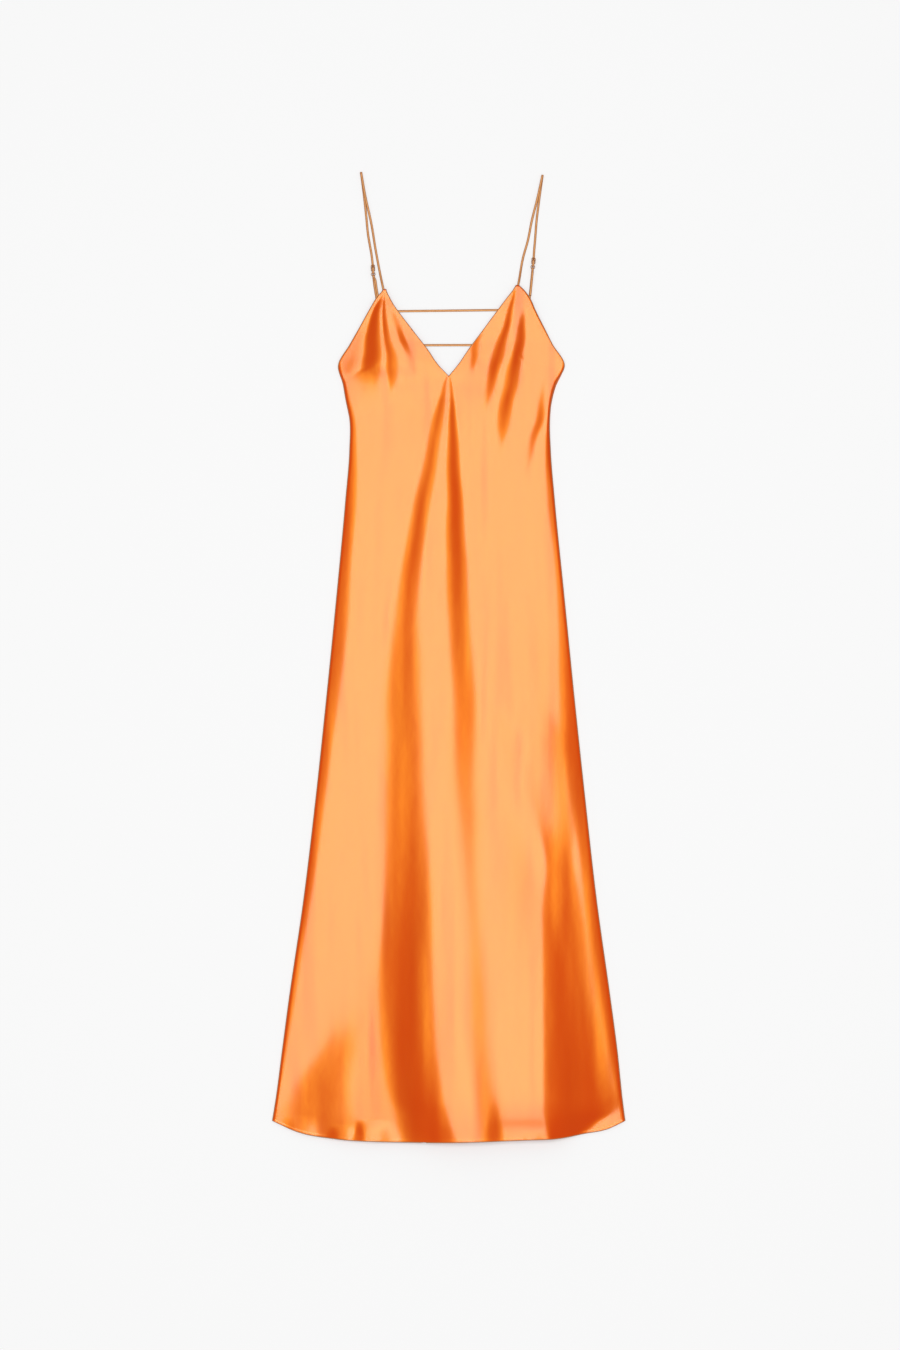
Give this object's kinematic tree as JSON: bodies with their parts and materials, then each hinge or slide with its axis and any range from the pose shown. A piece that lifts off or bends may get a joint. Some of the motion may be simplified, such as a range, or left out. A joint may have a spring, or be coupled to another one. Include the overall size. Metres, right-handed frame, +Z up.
{
  "type": "satin maxi dress",
  "caption": "Ankle-length slip dress laid flat, with a V neck, gathered cup points, thin adjustable straps and straps across an open back.",
  "frame": {"origin": "on the surface the dress lies on, under the middle of its outline", "axes": "+Y from the hem to the straps, +X to the right of the dress as it is seen, +Z up from the surface"},
  "size_m": [0.53, 1.4552, 0.026],
  "materials": {
    "satin": "glossy orange satin",
    "rouleau": "orange satin tube",
    "hardware": "polished bronze colour"
  },
  "bodies": {
    "root": {"front": "satin", "back": "satin", "strap_left": "rouleau", "strap_right": "rouleau", "tab_left": "rouleau", "tab_right": "rouleau", "slider_left": "hardware", "slider_right": "hardware", "ring_left": "hardware", "ring_right": "hardware", "ladder_upper": "rouleau", "ladder_lower": "rouleau"}
  },
  "joints": []
}
